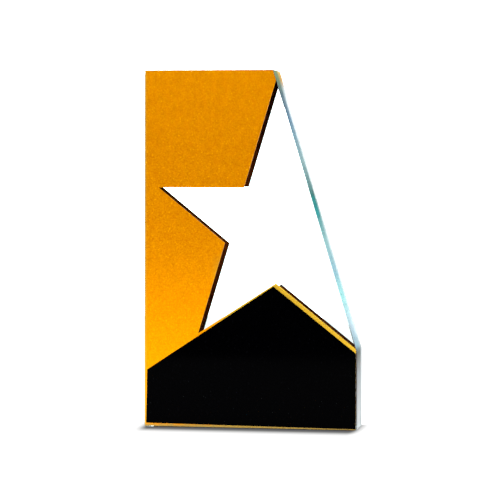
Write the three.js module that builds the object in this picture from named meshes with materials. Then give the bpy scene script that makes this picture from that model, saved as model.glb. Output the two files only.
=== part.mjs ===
// A star trophy: an upright block of clear glass with one corner cut away on a slant.
// A gold layer with a star-shaped window covers its face, a black house-shaped panel is
// stuck over the foot of the gold, and a dark film backs the gold on the rear face.
// Millimetres, +Z up, face towards -Y. The origin is the middle of the flat base.

import * as THREE from 'three';

// The glass block.
const BLOCK_WIDTH = 120;
const BLOCK_HEIGHT = 200;
const BLOCK_DEPTH = 25;
const TOP_WIDTH = 72.9;
const SHOULDER_HEIGHT = 44.4;
const ARRIS = 0.3;

// The layers on its two faces.
const GOLD_THICKNESS = 0.3;
const PANEL_THICKNESS = 0.4;
const FILM_THICKNESS = 0.3;
const FILM_SETBACK = 0.8;
const FILM_SHIFT = [0.6, -0.4];

// The star window's corners, [across, up] from the middle of the base. Its right arm runs
// off the block, so the slanted side of the block closes it there.
const STAR_INNER_CORNER = [-3.5, 134.4];
const STAR_LEFT_POINT = [-51.9, 134.4];
const STAR_WAIST = [-14.1, 103.6];
const STAR_LEFT_FOOT = [-29.3, 52.8];
const STAR_CROTCH = [14.7, 81.3];
const STAR_TIP_SLOPE = THREE.MathUtils.degToRad(73.3);
const STAR_FOOT_SLOPE = THREE.MathUtils.degToRad(-38.7);

// The black panel's corners. Its base rises a little towards the left.
const PANEL_BASE_LEFT = [-58.9, 2.0];
const PANEL_BASE_RIGHT_HEIGHT = 0.7;
const PANEL_EAVE_LEFT = [-58.3, 32.1];
const PANEL_RIDGE = [13.3, 79.5];
const PANEL_ROOF_SLOPE = THREE.MathUtils.degToRad(-38.4);

// Where the line through two points crosses the line through two others.
function crossing([a, b], [c, d]) {
  const [ux, uy] = [b[0] - a[0], b[1] - a[1]];
  const [vx, vy] = [d[0] - c[0], d[1] - c[1]];
  const along = ((c[0] - a[0]) * vy - (c[1] - a[1]) * vx) / (ux * vy - uy * vx);
  return [a[0] + along * ux, a[1] + along * uy];
}

// A second point on the line that leaves a point at an angle.
function pointAlong([x, y], angle) {
  return [x + Math.cos(angle), y + Math.sin(angle)];
}

// The outline with every side moved inwards. The corners run anticlockwise.
function inset(corners, distance) {
  const sides = corners.map((start, i) => {
    const end = corners[(i + 1) % corners.length];
    const length = Math.hypot(end[0] - start[0], end[1] - start[1]);
    const shiftX = (-(end[1] - start[1]) / length) * distance;
    const shiftY = ((end[0] - start[0]) / length) * distance;
    return [
      [start[0] + shiftX, start[1] + shiftY],
      [end[0] + shiftX, end[1] + shiftY],
    ];
  });
  return sides.map((side, i) => crossing(sides.at(i - 1), side));
}

function outlineShape(corners) {
  return new THREE.Shape(corners.map(([x, y]) => new THREE.Vector2(x, y)));
}

// Stands an outline upright. The solid reaches back from its front face by its thickness.
function uprightMesh(name, geometry, frontY, thickness, material) {
  const mesh = new THREE.Mesh(geometry, material);
  mesh.name = name;
  mesh.rotation.x = Math.PI / 2;
  mesh.position.y = frontY + thickness;
  return mesh;
}

function layerMesh(name, corners, frontY, thickness, material) {
  const geometry = new THREE.ExtrudeGeometry(outlineShape(corners), {
    depth: thickness,
    bevelEnabled: false,
  });
  return uprightMesh(name, geometry, frontY, thickness, material);
}

const halfWidth = BLOCK_WIDTH / 2;
const faceY = -BLOCK_DEPTH / 2;
const rearY = BLOCK_DEPTH / 2;

const blockOutline = [
  [-halfWidth, 0],
  [halfWidth, 0],
  [halfWidth, SHOULDER_HEIGHT],
  [TOP_WIDTH - halfWidth, BLOCK_HEIGHT],
  [-halfWidth, BLOCK_HEIGHT],
];

// The flat of each face, inside the polished arris around it.
const faceOutline = inset(blockOutline, ARRIS);
const [faceBaseLeft, faceBaseRight, faceShoulder, faceTopRight, faceTopLeft] = faceOutline;
const faceSlant = [faceShoulder, faceTopRight];
const faceRightSide = [faceBaseRight, faceShoulder];

// Clear glass with a narrow flat arris, or chamfer, along every front and rear edge.
function glassBlock() {
  const geometry = new THREE.ExtrudeGeometry(outlineShape(blockOutline), {
    depth: BLOCK_DEPTH - 2 * ARRIS,
    bevelEnabled: true,
    bevelThickness: ARRIS,
    bevelSize: ARRIS,
    bevelOffset: -ARRIS,
    bevelSegments: 1,
  });
  geometry.translate(0, 0, ARRIS);
  const material = new THREE.MeshStandardMaterial({
    color: 0xd8f0f2,
    roughness: 0.03,
    metalness: 0,
    transparent: true,
    opacity: 0.35,
  });
  return uprightMesh('glass_block', geometry, faceY, BLOCK_DEPTH, material);
}

// The gold covers the whole flat of the face except the star.
function goldOutline() {
  const starTip = crossing(
    [STAR_INNER_CORNER, pointAlong(STAR_INNER_CORNER, STAR_TIP_SLOPE)],
    faceSlant,
  );
  const starRightFoot = crossing(
    [STAR_CROTCH, pointAlong(STAR_CROTCH, STAR_FOOT_SLOPE)],
    faceSlant,
  );
  return [
    faceBaseLeft,
    faceBaseRight,
    faceShoulder,
    starRightFoot,
    STAR_CROTCH,
    STAR_LEFT_FOOT,
    STAR_WAIST,
    STAR_LEFT_POINT,
    STAR_INNER_CORNER,
    starTip,
    faceTopRight,
    faceTopLeft,
  ];
}

function goldFaceLayer() {
  const material = new THREE.MeshStandardMaterial({
    color: 0xe2940c,
    roughness: 0.45,
    metalness: 0.5,
  });
  return layerMesh('gold_face_layer', goldOutline(), faceY - GOLD_THICKNESS, GOLD_THICKNESS, material);
}

// The black panel leaves a gold line along its left side, its base and its roof, and
// reaches the edge of the face on the right.
function blackNamePanel() {
  const eaveRight = crossing(
    [PANEL_RIDGE, pointAlong(PANEL_RIDGE, PANEL_ROOF_SLOPE)],
    faceRightSide,
  );
  const baseRight = [faceBaseRight[0], PANEL_BASE_RIGHT_HEIGHT];
  const corners = [PANEL_BASE_LEFT, baseRight, eaveRight, PANEL_RIDGE, PANEL_EAVE_LEFT];
  const frontY = faceY - GOLD_THICKNESS - PANEL_THICKNESS;
  const material = new THREE.MeshStandardMaterial({
    color: 0x050507,
    roughness: 0.08,
    metalness: 0,
  });
  return layerMesh('black_name_panel', corners, frontY, PANEL_THICKNESS, material);
}

// The dark film repeats the gold's outline on the rear face. It is cut a little smaller all
// round, and sits slightly across and down from the middle of the gold.
function rearBackingFilm() {
  const corners = inset(goldOutline(), FILM_SETBACK).map(([x, y]) => [
    x + FILM_SHIFT[0],
    y + FILM_SHIFT[1],
  ]);
  const material = new THREE.MeshStandardMaterial({
    color: 0x1c0a03,
    roughness: 0.5,
    metalness: 0,
  });
  return layerMesh('rear_backing_film', corners, rearY, FILM_THICKNESS, material);
}

const trophy = new THREE.Group();
trophy.add(glassBlock(), goldFaceLayer(), blackNamePanel(), rearBackingFilm());

export default trophy;
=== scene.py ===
import math

import bmesh
import bpy
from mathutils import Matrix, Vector


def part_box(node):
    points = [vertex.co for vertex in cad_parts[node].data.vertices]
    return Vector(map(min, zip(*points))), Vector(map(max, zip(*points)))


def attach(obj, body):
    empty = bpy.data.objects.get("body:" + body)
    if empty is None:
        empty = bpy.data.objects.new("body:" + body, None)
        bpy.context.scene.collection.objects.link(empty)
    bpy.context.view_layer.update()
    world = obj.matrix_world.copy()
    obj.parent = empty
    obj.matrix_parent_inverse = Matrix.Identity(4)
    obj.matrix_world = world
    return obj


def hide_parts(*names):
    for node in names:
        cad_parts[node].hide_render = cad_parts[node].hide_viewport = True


# star trophy: a clear glass block, a gold layer with a star window on its face,
# a black panel over the foot of the gold and a dark film on the back of the glass

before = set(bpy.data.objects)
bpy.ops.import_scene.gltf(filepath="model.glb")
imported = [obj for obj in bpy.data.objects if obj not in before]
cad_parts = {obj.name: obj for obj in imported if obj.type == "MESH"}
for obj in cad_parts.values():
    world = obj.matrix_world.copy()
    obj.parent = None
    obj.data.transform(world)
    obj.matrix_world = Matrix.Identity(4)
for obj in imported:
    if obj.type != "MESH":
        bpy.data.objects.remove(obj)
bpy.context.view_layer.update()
scene = bpy.context.scene
mm = 0.001
contact = 0.01 * mm        # how far a stuck layer reaches into what it is stuck to
sameFace = 0.01 * mm       # corners this close in depth are on one face
mergeDistance = 0.005 * mm
flatAngle = math.radians(1)
noiseSpan = (0.3, 0.7)     # a noise texture seldom leaves this range
print("frame loaded:", ", ".join(sorted(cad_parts)))


def meshFromNode(nodeName):
    # a merged copy of a frame node, with its flat faces in one piece again
    bm = bmesh.new()
    bm.from_mesh(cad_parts[nodeName].data)
    bmesh.ops.remove_doubles(bm, verts=bm.verts, dist=mergeDistance)
    bmesh.ops.dissolve_limit(bm, angle_limit=flatAngle, verts=bm.verts, edges=bm.edges)
    return bm


def runsFrontToBack(edge):
    along = (edge.verts[1].co - edge.verts[0].co).normalized()
    return abs(along.y) > 0.99   # within a few degrees


def softenEdges(bm, edges, width, segments):
    return bmesh.ops.bevel(bm, geom=edges, offset=width, offset_type="OFFSET", segments=segments,
                           profile=0.5, affect="EDGES", material=-1)["faces"]


def addPiece(bm, name, nodeName, material):
    # bevels are shaded smooth, the polished flats stay flat
    mesh = bpy.data.meshes.new(name)
    bm.to_mesh(mesh)
    bm.free()
    piece = bpy.data.objects.new(name, mesh)
    scene.collection.objects.link(piece)
    mesh.materials.append(material)
    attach(piece, "root")
    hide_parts(nodeName)
    print(name, len(mesh.polygons), "faces")
    return piece


class NodeKit:
    # shorthand for wiring one material
    def __init__(self, name):
        self.material = bpy.data.materials.new(name)
        self.material.use_nodes = True
        self.tree = self.material.node_tree
        self.shader = self.tree.nodes["Principled BSDF"]
        self.place = self.add("ShaderNodeTexCoord").outputs["Object"]

    def placeAxes(self):
        split = self.add("ShaderNodeSeparateXYZ")
        self.link(self.place, split.inputs["Vector"])
        return split.outputs["X"], split.outputs["Y"], split.outputs["Z"]

    def add(self, kind, **settings):
        node = self.tree.nodes.new(kind)
        for key, value in settings.items():
            setattr(node, key, value)
        return node

    def link(self, output, socket):
        self.tree.links.new(output, socket)

    def noise(self, scale, detail=2.0, roughness=0.5, stretch=(1, 1, 1)):
        mapping = self.add("ShaderNodeMapping")
        mapping.inputs["Scale"].default_value = stretch
        self.link(self.place, mapping.inputs["Vector"])
        node = self.add("ShaderNodeTexNoise")
        node.inputs["Scale"].default_value = scale
        node.inputs["Detail"].default_value = detail
        node.inputs["Roughness"].default_value = roughness
        self.link(mapping.outputs["Vector"], node.inputs["Vector"])
        return node.outputs["Fac"]

    def spread(self, value, low, high, toLow, toHigh):
        node = self.add("ShaderNodeMapRange")
        node.inputs["From Min"].default_value = low
        node.inputs["From Max"].default_value = high
        node.inputs["To Min"].default_value = toLow
        node.inputs["To Max"].default_value = toHigh
        self.link(value, node.inputs["Value"])
        return node.outputs["Result"]

    def sway(self, noise, reach):
        # noise as a number that goes as far below zero as above it
        return self.spread(noise, *noiseSpan, -reach, reach)

    def combine(self, operation, first, second=None):
        node = self.add("ShaderNodeMath", operation=operation)
        self.link(first, node.inputs[0])
        if second is not None:
            self.link(second, node.inputs[1])
        return node.outputs["Value"]

    def blend(self, amount, first, second):
        node = self.add("ShaderNodeMix", data_type="RGBA")
        factor, colourA, colourB = (node.inputs[i] for i in (0, 6, 7))   # those for colours
        for value, socket in ((amount, factor), (first, colourA), (second, colourB)):
            if isinstance(value, bpy.types.NodeSocket):
                self.link(value, socket)
            elif isinstance(value, tuple):
                socket.default_value = (*value, 1)
            else:
                socket.default_value = value
        return node.outputs[2]

    def ramp(self, value, stops):
        # stops run from low to high, each a place from 0 to 1 and a colour
        node = self.add("ShaderNodeValToRGB")
        elements = node.color_ramp.elements
        elements[0].position = stops[0][0]
        elements[1].position = stops[-1][0]
        for place, _ in stops[1:-1]:
            elements.new(place)
        for element, (_, colour) in zip(elements, stops):
            element.color = (*colour, 1)
        self.link(value, node.inputs["Fac"])
        return node.outputs["Color"]

    def heightRamp(self, stops, drift=None):
        # the same over the height up the block, with plain numbers or colours at the stops
        low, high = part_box("glass_block")
        height = self.spread(self.placeAxes()[2], low[2], high[2], 0, 1)
        if drift is not None:
            height = self.combine("ADD", height, drift)
        colours = [tone if isinstance(tone, tuple) else (tone,) * 3 for _, tone in stops]
        places = [(place - low[2]) / (high[2] - low[2]) for place, _ in stops]
        return self.ramp(height, list(zip(places, colours)))

    def bump(self, height, strength, distance):
        node = self.add("ShaderNodeBump")
        node.inputs["Strength"].default_value = strength
        node.inputs["Distance"].default_value = distance
        self.link(height, node.inputs["Height"])
        return node.outputs["Normal"]


glassBlock = {
    "cornerArris": 0.25 * mm,
    "edgeSoftening": 0.06 * mm,
    "ior": 1.50,
    "tint": (0.12, 0.80, 0.76),
    "tintPerMetre": 9.0,
    "polishRoughness": (0.0, 0.015),
    "streaksPerMetre": 60,
    "wavesPerMetre": 45,
    "wavinessHeight": 0.002 * mm,
    "baseColour": (0.985, 1.0, 0.995),
}


def glassMaterial():
    kit = NodeKit("clearGlass")
    kit.shader.inputs["Base Color"].default_value = (*glassBlock["baseColour"], 1)
    kit.shader.inputs["Transmission Weight"].default_value = 1.0
    kit.shader.inputs["IOR"].default_value = glassBlock["ior"]
    # fine rubbing from cloths shows as slightly duller streaks
    streaks = kit.noise(glassBlock["streaksPerMetre"], detail=6, roughness=0.65, stretch=(1, 1, 0.25))
    kit.link(kit.spread(streaks, 0.45, 0.75, *glassBlock["polishRoughness"]),
             kit.shader.inputs["Roughness"])
    waves = kit.noise(glassBlock["wavesPerMetre"], detail=1)
    kit.link(kit.bump(waves, 0.2, glassBlock["wavinessHeight"]), kit.shader.inputs["Normal"])
    absorb = kit.add("ShaderNodeVolumeAbsorption")
    absorb.inputs["Color"].default_value = (*glassBlock["tint"], 1)
    absorb.inputs["Density"].default_value = glassBlock["tintPerMetre"]
    kit.link(absorb.outputs["Volume"], kit.tree.nodes["Material Output"].inputs["Volume"])
    return kit.material


satinSides = {
    "roughness": (0.42, 0.52),
    "grainPerMetre": 1500,
    "grainHeight": 0.006 * mm,
    "clearness": 0.6,        # the rest scatters in the ground surface
    "tintedDepth": (1.5 * mm, 9.5 * mm),    # the tint thins out to the rear between these
    "rearTint": (0.74, 0.88, 0.90),
    # the left side, the top and the base
    "plainTints": ((0.26, 0.52, 0.51), (0.40, 0.66, 0.66)),
    "plainTintsPerMetre": 45,
    "plainTintSway": 1 * mm,
    # the right side: painted light, with the tints uneven up the side and across it
    "tintDriftsPerMetre": 70,
    "tintDrift": 0.003,      # as a share of the block's height
    "tintSwaysPerMetre": 160,
    "tintSway": 1.5 * mm,
    "thinnerHeights": (155 * mm, 190 * mm),
    "thinnerBy": 5 * mm,     # the tinted part gets this much narrower between those heights
    # painted reflection of the gold in the top corner of the side
    "topCornerGoldReflection": (1.00, 0.58, 0.14),
    "topCornerHeights": (190 * mm, 195 * mm),
    # painted shade at the front edge of the foot, below the shoulder
    "footFrontPaintedShade": (0.004, 0.006, 0.005),
    "footFrontDepths": (-11 * mm, -7 * mm),
    "footFrontHeights": (43 * mm, 46 * mm),
    # painted light and reflections: the block's own teal, lighter and darker up the side as light
    # passes and bounces through the block, with heights from the base
    "paintedLightTints": (
        (8 * mm, (0.92, 1.00, 1.00)),
        (30 * mm, (0.54, 0.62, 0.65)),
        (43 * mm, (0.12, 0.16, 0.12)),
        (47 * mm, (0.45, 0.78, 0.92)),
        (57 * mm, (0.52, 0.76, 0.88)),
        (74 * mm, (0.24, 0.70, 0.70)),
        (88 * mm, (0.14, 0.35, 0.45)),
        (104 * mm, (0.13, 0.34, 0.36)),
        (119 * mm, (0.0, 0.145, 0.15)),
        (131 * mm, (0.0, 0.065, 0.058)),
        (151 * mm, (0.10, 0.22, 0.24)),
        (173 * mm, (0.04, 0.12, 0.21)),
        (186 * mm, (0.12, 0.24, 0.31)),
        (196 * mm, (0.20, 0.36, 0.17)),
    ),
}


def satinGlass(name):
    # glass with a finely ground surface, without its colour
    kit = NodeKit(name)
    kit.shader.inputs["Transmission Weight"].default_value = satinSides["clearness"]
    kit.shader.inputs["IOR"].default_value = glassBlock["ior"]
    grain = kit.noise(satinSides["grainPerMetre"], detail=3, roughness=0.6)
    kit.link(kit.spread(grain, *noiseSpan, *satinSides["roughness"]), kit.shader.inputs["Roughness"])
    kit.link(kit.bump(grain, 0.3, satinSides["grainHeight"]), kit.shader.inputs["Normal"])
    return kit


def rightSideMaterial():
    kit = satinGlass("satinGlassRight")
    _, y, z = kit.placeAxes()
    upwards = kit.noise(satinSides["tintDriftsPerMetre"], detail=3, stretch=(1, 1, 0.4))
    # painted light and reflections up the right side
    tint = kit.heightRamp(satinSides["paintedLightTints"], kit.sway(upwards, satinSides["tintDrift"]))
    across = kit.noise(satinSides["tintSwaysPerMetre"], detail=3, stretch=(1, 1, 0.2))
    depth = kit.combine("ADD", y, kit.sway(across, satinSides["tintSway"]))
    thinner = kit.spread(z, *satinSides["thinnerHeights"], 0, satinSides["thinnerBy"])
    clearing = kit.spread(kit.combine("ADD", depth, thinner), *satinSides["tintedDepth"], 0, 1)
    # painted reflection of the gold near the top corner
    topCorner = kit.spread(z, *satinSides["topCornerHeights"], 0, 1)
    rear = kit.blend(topCorner, satinSides["rearTint"], satinSides["topCornerGoldReflection"])
    body = kit.blend(clearing, tint, rear)
    # painted shade: below the shoulder the front edge is darkened, in the shadow of the black foot
    footFront = kit.combine("MULTIPLY", kit.spread(y, *satinSides["footFrontDepths"], 1, 0),
                            kit.spread(z, *satinSides["footFrontHeights"], 1, 0))
    kit.link(kit.blend(footFront, body, satinSides["footFrontPaintedShade"]), kit.shader.inputs["Base Color"])
    return kit.material


def otherSideMaterial():
    kit = satinGlass("satinGlassOther")
    _, y, _ = kit.placeAxes()
    cloud = kit.noise(satinSides["plainTintsPerMetre"], detail=3, stretch=(1, 1, 0.3))
    tint = kit.blend(kit.spread(cloud, 0.35, 0.65, 0, 1), *satinSides["plainTints"])
    depth = kit.combine("ADD", y, kit.sway(cloud, satinSides["plainTintSway"]))
    clearing = kit.spread(depth, *satinSides["tintedDepth"], 0, 1)
    kit.link(kit.blend(clearing, tint, satinSides["rearTint"]), kit.shader.inputs["Base Color"])
    return kit.material


def makeGlassBlock():
    bm = meshFromNode("glass_block")
    corners = [edge for edge in bm.edges if runsFrontToBack(edge)]
    softenEdges(bm, corners, glassBlock["cornerArris"], 1)
    for face in softenEdges(bm, list(bm.edges), glassBlock["edgeSoftening"], 2):
        face.smooth = True
    bm.normal_update()
    for face in bm.faces:
        if abs(face.normal.y) < 0.5:   # the sides all round, between the polished faces
            face.material_index = 1 if face.normal.x > 0.5 else 2
    block = addPiece(bm, "glassBlock", "glass_block", glassMaterial())
    block.data.materials.append(rightSideMaterial())
    block.data.materials.append(otherSideMaterial())


goldLayer = {
    "edgeSoftening": 0.05 * mm,
    "deepGold": (0.67, 0.190, 0.0002),
    "paleGold": (0.85, 0.260, 0.0002),
    "sparkle": (1.0, 0.50, 0.002),
    "softSparkle": 0.36,     # how strong the dense faint flakes are
    # the few bright flakes are painted glints
    "glintSparkle": 0.8,     # and the few bright ones
    # painted shade along the foot of the gold, where it sits in shadow
    "footPaintedShade": (0.42, 0.27, 0.06),      # along the foot
    "footShadeHeights": (0.8 * mm, 2.2 * mm),
    "footShadeSway": 0.5 * mm,
    "rimGold": (0.62, 0.37, 0.025),         # yellower on the left edge and over the panel's roof
    "rimWidth": 1.1 * mm,
    "roofFrom": (-22 * mm, -12 * mm),       # across
    "roofUpTo": (90 * mm, 98 * mm),
    # painted light: how deep the gold is at heights up the face, paler towards the foot and a little
    # towards the top as the light falls on it
    "paintedLightDepths": ((30 * mm, 0.0), (70 * mm, 0.55), (105 * mm, 1.0), (140 * mm, 0.85), (190 * mm, 0.35)),
    "metallic": 0.75,
    "specularLevel": 0.0,
    "roughness": (0.30, 0.40),
    "flakesPerMetre": 1000,
    "mottlePerMetre": 330,
    "mottleStrength": 0.2,
    "grainHeight": 0.01 * mm,
}


def goldMaterial():
    kit = NodeKit("goldLayer")
    mottle = kit.noise(goldLayer["mottlePerMetre"], detail=3, stretch=(1, 1, 0.6))
    flakes = kit.noise(goldLayer["flakesPerMetre"], detail=2, roughness=0.7)
    x, _, z = kit.placeAxes()
    # painted light up the face, with random mottle in the print
    uneven = kit.combine("ADD", kit.heightRamp(goldLayer["paintedLightDepths"]),
                         kit.sway(mottle, goldLayer["mottleStrength"]))
    body = kit.blend(uneven, goldLayer["paleGold"], goldLayer["deepGold"])
    # the faint flakes are the print's grain; the few bright ones are painted glints
    for dim, bright, strength in ((0.35, 0.65, goldLayer["softSparkle"]),
                                  (0.66, 0.72, goldLayer["glintSparkle"])):
        body = kit.blend(kit.spread(flakes, dim, bright, 0, strength), body, goldLayer["sparkle"])
    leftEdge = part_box("gold_face_layer")[0][0]
    rim = kit.spread(x, leftEdge, leftEdge + goldLayer["rimWidth"], 1, 0)
    roof = kit.combine("MULTIPLY", kit.spread(x, *goldLayer["roofFrom"], 0, 1),
                       kit.spread(z, *goldLayer["roofUpTo"], 1, 0))
    body = kit.blend(kit.combine("MAXIMUM", rim, roof), body, goldLayer["rimGold"])
    # painted shade along the foot of the gold
    foot = kit.spread(kit.combine("ADD", z, kit.sway(mottle, goldLayer["footShadeSway"])),
                      *goldLayer["footShadeHeights"], 1, 0)
    kit.link(kit.blend(foot, body, goldLayer["footPaintedShade"]), kit.shader.inputs["Base Color"])
    kit.shader.inputs["Metallic"].default_value = goldLayer["metallic"]
    kit.shader.inputs["Specular IOR Level"].default_value = goldLayer["specularLevel"]
    kit.link(kit.spread(flakes, *noiseSpan, *goldLayer["roughness"]), kit.shader.inputs["Roughness"])
    kit.link(kit.bump(flakes, 0.4, goldLayer["grainHeight"]), kit.shader.inputs["Normal"])
    return kit.material


blackPanel = {
    "edgeSoftening": 0.08 * mm,
    "black": (0.0001, 0.0001, 0.0002),
    "lintGrey": (0.001, 0.001, 0.0015),
    "lintPerMetre": 900,
    "specularLevel": 0.006,
    "roughness": (0.04, 0.09),
    "smearsPerMetre": 35,
    "ripplesPerMetre": 70,
    "rippleHeight": 0.004 * mm,
}


def blackPanelMaterial():
    kit = NodeKit("blackPanel")
    smears = kit.noise(blackPanel["smearsPerMetre"], detail=5, roughness=0.6, stretch=(1, 1, 0.4))
    lint = kit.spread(kit.noise(blackPanel["lintPerMetre"], detail=2), 0.62, 0.72, 0, 1)
    kit.link(kit.blend(lint, blackPanel["black"], blackPanel["lintGrey"]),
             kit.shader.inputs["Base Color"])
    kit.shader.inputs["Specular IOR Level"].default_value = blackPanel["specularLevel"]
    kit.link(kit.spread(smears, 0.35, 0.7, *blackPanel["roughness"]), kit.shader.inputs["Roughness"])
    ripples = kit.noise(blackPanel["ripplesPerMetre"], detail=2)
    kit.link(kit.bump(ripples, 0.2, blackPanel["rippleHeight"]), kit.shader.inputs["Normal"])
    return kit.material


backingFilm = {
    "edgeSoftening": 0.05 * mm,
    "darkBrown": (0.026, 0.0018, 0.0001),
    "lightBrown": (0.125, 0.0170, 0.0003),
    # how light the film is at heights up the block
    "lightness": ((42 * mm, 1.0), (56 * mm, 0.5), (75 * mm, 0.5), (110 * mm, 0.8), (135 * mm, 0.6),
                  (165 * mm, 0.1)),
    "patchesPerMetre": 40,
    "patchStrength": 0.15,
    "grainPerMetre": 1100,
    "grainStrength": 0.3,
    "grainHeight": 0.012 * mm,
    "specularLevel": 0.02,
    "roughness": (0.42, 0.58),
}


def backingFilmMaterial():
    kit = NodeKit("backingFilm")
    grain = kit.noise(backingFilm["grainPerMetre"], detail=3, roughness=0.6)
    patches = kit.noise(backingFilm["patchesPerMetre"], detail=3)
    lightness = kit.combine("ADD", kit.heightRamp(backingFilm["lightness"]),
                            kit.sway(patches, backingFilm["patchStrength"]))
    body = kit.blend(lightness, backingFilm["darkBrown"], backingFilm["lightBrown"])
    specks = kit.spread(grain, 0.4, 0.7, 0, backingFilm["grainStrength"])
    kit.link(kit.blend(specks, body, backingFilm["lightBrown"]), kit.shader.inputs["Base Color"])
    kit.shader.inputs["Specular IOR Level"].default_value = backingFilm["specularLevel"]
    kit.link(kit.spread(grain, *noiseSpan, *backingFilm["roughness"]), kit.shader.inputs["Roughness"])
    kit.link(kit.bump(grain, 0.3, backingFilm["grainHeight"]), kit.shader.inputs["Normal"])
    return kit.material


def makeLayer(name, nodeName, settings, facing, material):
    # facing is +1 where the layer looks to the back and -1 where it looks to the front
    bm = meshFromNode(nodeName)
    outerY = max(v.co.y * facing for v in bm.verts) * facing
    stuckY = min(v.co.y * facing for v in bm.verts) * facing
    for vert in bm.verts:
        if abs(vert.co.y - stuckY) < sameFace:
            vert.co.y -= contact * facing
    rim = [edge for edge in bm.edges if all(abs(v.co.y - outerY) < sameFace for v in edge.verts)]
    for face in softenEdges(bm, rim, settings["edgeSoftening"], 2):
        face.smooth = True
    addPiece(bm, name, nodeName, material)


makeGlassBlock()
makeLayer("goldLayer", "gold_face_layer", goldLayer, -1, goldMaterial())
makeLayer("blackPanel", "black_name_panel", blackPanel, -1, blackPanelMaterial())
makeLayer("backingFilm", "rear_backing_film", backingFilm, 1, backingFilmMaterial())


floorSetup = {
    "halfSize": 0.9,
    "paperInFront": (0.80, 0.80, 0.81),
    # painted shade: the paper behind the trophy is darker, standing in for shade there
    "paperBehindPaintedShade": (0.30, 0.30, 0.30),
    "paperChange": (-0.05, 0.1),            # metres, from front to rear
    "paperRoughness": 0.9,
    "paperSpecularLevel": 0.1,
    # painted shade: a dark card painted on the paper far in front, or the foot of the glass face
    # mirrors bright paper there
    "cardPaintedDark": (0.01, 0.01, 0.01),
    "cardRearEdge": (-0.48, -0.44),
    "cardSides": (-0.2, 0.0),
    "cardSoftness": 0.01,
    "glow": 1.2,             # the lit paper as it is seen, so that it runs into the backdrop
    "glowShare": 0.85,
    # the painted shadow at the foot of the glass: how far it spreads, and its brightness on the way
    "sideReach": 7.5 * mm,
    "sideStart": 4 * mm,     # how far inside the block's ends it starts to thin out
    "frontReach": 42 * mm,
    "backReach": 8 * mm,
    "shadow": ((0.0, 0.06), (0.22, 0.13), (0.36, 0.36), (0.48, 0.58), (0.65, 0.75), (1.0, 1.0)),
}


def makeFloor():
    bm = bmesh.new()
    bmesh.ops.create_grid(bm, x_segments=4, y_segments=4, size=floorSetup["halfSize"])
    mesh = bpy.data.meshes.new("floor")
    bm.to_mesh(mesh)
    bm.free()
    floor = bpy.data.objects.new("floor", mesh)
    scene.collection.objects.link(floor)

    kit = NodeKit("paperWhite")
    x, y, _ = kit.placeAxes()
    paper = kit.blend(kit.spread(y, *floorSetup["paperChange"], 0, 1), floorSetup["paperInFront"],
                      floorSetup["paperBehindPaintedShade"])
    cardLeft, cardRight = floorSetup["cardSides"]
    soft = floorSetup["cardSoftness"]
    card = kit.combine("MULTIPLY", kit.spread(y, *floorSetup["cardRearEdge"], 1, 0),
                       kit.combine("MULTIPLY", kit.spread(x, cardLeft - soft, cardLeft + soft, 0, 1),
                                   kit.spread(x, cardRight - soft, cardRight + soft, 1, 0)))
    kit.link(kit.blend(card, paper, floorSetup["cardPaintedDark"]), kit.shader.inputs["Base Color"])
    kit.shader.inputs["Roughness"].default_value = floorSetup["paperRoughness"]
    kit.shader.inputs["Specular IOR Level"].default_value = floorSetup["paperSpecularLevel"]

    # what is seen of the floor: a bright sheet with a painted soft shadow round the foot of the
    # glass, longest in front, away from the bright backdrop
    low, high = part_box("glass_block")
    side = floorSetup["sideReach"]
    inside = floorSetup["sideStart"]
    across = kit.combine("ADD", kit.spread(x, low[0] - side, low[0] + inside, 1, 0),
                         kit.spread(x, high[0] - inside, high[0] + side, 0, 1))
    along = kit.combine("ADD", kit.spread(y, low[1] - floorSetup["frontReach"], low[1], 1, 0),
                        kit.spread(y, high[1], high[1] + floorSetup["backReach"], 0, 1))
    away = kit.combine("SQRT", kit.combine("ADD", kit.combine("MULTIPLY", across, across),
                                           kit.combine("MULTIPLY", along, along)))
    shade = kit.ramp(away, [(place, (grey, grey, grey)) for place, grey in floorSetup["shadow"]])
    lit = kit.add("ShaderNodeBsdfDiffuse")
    kit.link(shade, lit.inputs["Color"])
    glow = kit.add("ShaderNodeEmission")
    glow.inputs["Strength"].default_value = floorSetup["glow"]
    kit.link(shade, glow.inputs["Color"])
    sheet = kit.add("ShaderNodeMixShader")
    sheet.inputs["Fac"].default_value = floorSetup["glowShare"]
    kit.link(lit.outputs["BSDF"], sheet.inputs[1])
    kit.link(glow.outputs["Emission"], sheet.inputs[2])

    path = kit.add("ShaderNodeLightPath")
    seen = kit.combine("MAXIMUM", path.outputs["Is Camera Ray"], path.outputs["Is Transmission Ray"])
    both = kit.add("ShaderNodeMixShader")
    kit.link(seen, both.inputs["Fac"])
    kit.link(kit.shader.outputs["BSDF"], both.inputs[1])
    kit.link(sheet.outputs["Shader"], both.inputs[2])
    kit.link(both.outputs["Shader"], kit.tree.nodes["Material Output"].inputs["Surface"])
    mesh.materials.append(kit.material)


studio = {
    "backdropWhite": 3.4,
    "overhead": 2.8,
    "right": 2.4,
    "behind": 0.03,
    "inFront": 0.0,
    # where one side of the room fades into the next, along a direction of length 1
    "frontToBehind": (-0.5, 0.3),
    "leftToRight": (0.55, 0.85),
    "lowToOverhead": (0.3, 0.85),
    "softboxWatts": 7.0,
    "softboxSize": 0.6,
    "softboxPlace": (-0.12, -0.28, 0.65),
    "softboxAim": (0, 0, 0.08),
}


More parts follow.
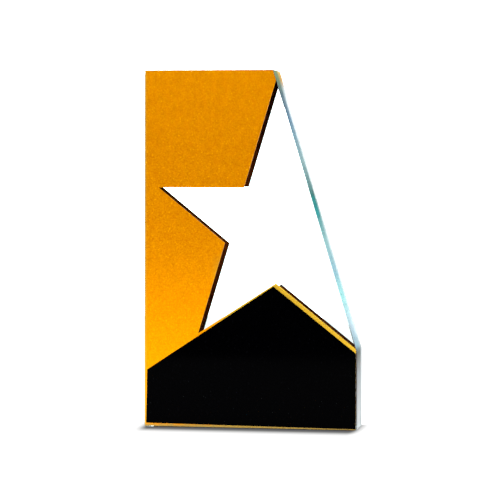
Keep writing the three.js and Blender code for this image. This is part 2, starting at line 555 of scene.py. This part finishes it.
def makeStudio():
    # what is seen past or through the trophy is white; what lights it is bright above and
    # on the right, and dark on the other sides
    world = bpy.data.worlds.new("studio")
    scene.world = world
    world.use_nodes = True
    tree = world.node_tree
    nodes, links = tree.nodes, tree.links
    background = nodes["Background"]

    direction = nodes.new("ShaderNodeSeparateXYZ")
    links.new(nodes.new("ShaderNodeTexCoord").outputs["Generated"], direction.inputs["Vector"])

    def fade(value, low, high, toLow, toHigh):
        node = nodes.new("ShaderNodeMapRange")
        node.interpolation_type = "SMOOTHSTEP"
        for name, number in (("From Min", low), ("From Max", high)):
            node.inputs[name].default_value = number
        for name, number in (("To Min", toLow), ("To Max", toHigh)):
            if isinstance(number, bpy.types.NodeSocket):
                links.new(number, node.inputs[name])
            else:
                node.inputs[name].default_value = number
        links.new(value, node.inputs["Value"])
        return node.outputs["Result"]

    def combine(operation, first, second):
        node = nodes.new("ShaderNodeMath")
        node.operation = operation
        for value, socket in ((first, node.inputs[0]), (second, node.inputs[1])):
            if isinstance(value, bpy.types.NodeSocket):
                links.new(value, socket)
            else:
                socket.default_value = value
        return node.outputs["Value"]

    around = fade(direction.outputs["Y"], *studio["frontToBehind"], studio["inFront"], studio["behind"])
    beside = fade(direction.outputs["X"], *studio["leftToRight"], around, studio["right"])
    above = fade(direction.outputs["Z"], *studio["lowToOverhead"], 0.0, studio["overhead"])
    lighting = combine("MAXIMUM", beside, above)
    path = nodes.new("ShaderNodeLightPath")
    seen = combine("MAXIMUM", path.outputs["Is Camera Ray"], path.outputs["Is Transmission Ray"])
    hidden = combine("SUBTRACT", 1.0, seen)
    strength = combine("ADD", combine("MULTIPLY", seen, studio["backdropWhite"]),
                       combine("MULTIPLY", hidden, lighting))
    links.new(strength, background.inputs["Strength"])
    background.inputs["Color"].default_value = (1, 1, 1, 1)

    lamp = bpy.data.lights.new("softbox", "AREA")
    lamp.shape = "SQUARE"
    lamp.size = studio["softboxSize"]
    lamp.energy = studio["softboxWatts"]
    softbox = bpy.data.objects.new("softbox", lamp)
    softbox.location = studio["softboxPlace"]
    aim = Vector(studio["softboxAim"]) - softbox.location
    softbox.rotation_euler = aim.to_track_quat("-Z", "Y").to_euler()
    scene.collection.objects.link(softbox)
    print("studio lit")


view = {
    "turn": 9.482,         # degrees to the right of straight ahead
    "lookDown": 2.189,     # degrees
    "roll": -0.134,        # degrees
    "distance": 1.2755,
    "height": 0.14801,
    "sideways": -0.00217,  # metres, like the two above
    "lens": 163.28,        # mm, with the sensor below
    "sensorWidth": 36,
    "clipStart": 0.01,
}


def makeCamera():
    cameraData = bpy.data.cameras.new("camera")
    cameraData.lens = view["lens"]
    cameraData.sensor_width = view["sensorWidth"]
    cameraData.clip_start = view["clipStart"]
    camera = bpy.data.objects.new("camera", cameraData)
    turn = math.radians(view["turn"])
    camera.location = (math.sin(turn) * view["distance"] + view["sideways"],
                       -math.cos(turn) * view["distance"], view["height"])
    camera.rotation_euler = (math.radians(90 - view["lookDown"]), math.radians(view["roll"]), turn)
    scene.collection.objects.link(camera)
    scene.camera = camera


makeFloor()
makeStudio()
makeCamera()

scene.view_settings.view_transform = "Standard"
# light crosses the glass many times before it leaves
scene.cycles.max_bounces = 24
scene.cycles.transmission_bounces = 20
scene.cycles.glossy_bounces = 8
scene.cycles.diffuse_bounces = 5
